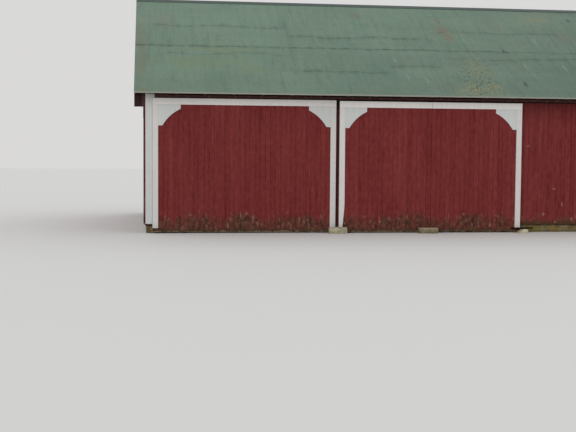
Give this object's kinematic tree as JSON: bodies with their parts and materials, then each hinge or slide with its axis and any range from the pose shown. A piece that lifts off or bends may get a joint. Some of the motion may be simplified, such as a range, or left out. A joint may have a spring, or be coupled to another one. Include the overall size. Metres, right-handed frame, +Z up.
{
  "type": "timber barn with sliding doors",
  "caption": "Red boarded timber barn with a green sheet-metal gable roof and wide white-trimmed sliding doors on overhead tracks.",
  "frame": {"origin": "ground level at the middle of the plan, the bottom centre of the bounding box", "axes": "+X along the barn to the right of someone facing its doors, +Y from the door side to the back wall, +Z up"},
  "size_m": [12.654, 8.155, 5.4106],
  "materials": {
    "masonry": "rough stained masonry",
    "block_stone": "rough weathered block",
    "painted_stone": "worn white paint on stone",
    "red_post": "dull red painted timber",
    "frame_timber": "bare aged sawn timber",
    "plate_timber": "dark weathered timber",
    "roof_timber": "bare sawn boards",
    "red_wall": "faded red paint on vertical boards",
    "barge_paint": "dark red paint",
    "red_door": "faded red paint on vertical boards",
    "door_back": "bare sawn timber",
    "white_trim": "weathered white paint",
    "green_roofing": "faded green paint on sheet metal",
    "drip_metal": "pale worn sheet metal",
    "track_steel": "rusted steel",
    "flat_iron": "black iron"
  },
  "bodies": {
    "barn": {"foundation": "masonry", "middle_guide_stone": "masonry", "guide_block": "block_stone", "end_guide_stone": "painted_stone", "front_posts": "red_post", "back_posts": "frame_timber", "gable_posts": "frame_timber", "sills": "frame_timber", "tie_beams": "frame_timber", "knee_braces": "frame_timber", "front_girts": "frame_timber", "back_girts": "frame_timber", "gable_girts": "frame_timber", "gable_studs": "frame_timber", "front_plate": "plate_timber", "back_plate": "plate_timber", "rafters": "roof_timber", "ridge_board": "roof_timber", "front_roof_deck": "roof_timber", "back_roof_deck": "roof_timber", "front_siding": "red_wall", "back_siding": "red_wall", "left_gable_siding": "red_wall", "right_gable_siding": "red_wall", "side_corner_boards": "red_wall", "barge_boards": "barge_paint", "corner_boards": "white_trim", "front_roofing": "green_roofing", "back_roofing": "green_roofing", "ridge_cap": "green_roofing", "drip_edges": "drip_metal", "inner_track": "track_steel", "outer_track": "track_steel", "track_brackets": "track_steel", "guide_iron": "flat_iron"},
    "left_door": {"left_door_boards": "red_door", "left_door_frame": "door_back", "left_door_trim": "white_trim", "left_door_hangers": "track_steel"},
    "middle_door": {"middle_door_boards": "red_door", "middle_door_frame": "door_back", "middle_door_trim": "white_trim", "middle_door_hangers": "track_steel"},
    "right_door": {"right_door_boards": "red_door", "right_door_frame": "door_back", "right_door_trim": "white_trim", "right_door_hangers": "track_steel"}
  },
  "joints": [
    {"name": "left_door_slide", "type": "slide", "parent": "barn", "child": "left_door", "axis": [1, 0, 0], "range_m": [0, 3.9]},
    {"name": "middle_door_slide", "type": "slide", "parent": "barn", "child": "middle_door", "axis": [-1, 0, 0], "range_m": [0, 1.95]},
    {"name": "right_door_slide", "type": "slide", "parent": "barn", "child": "right_door", "axis": [1, 0, 0], "range_m": [0, 1.95]}
  ]
}
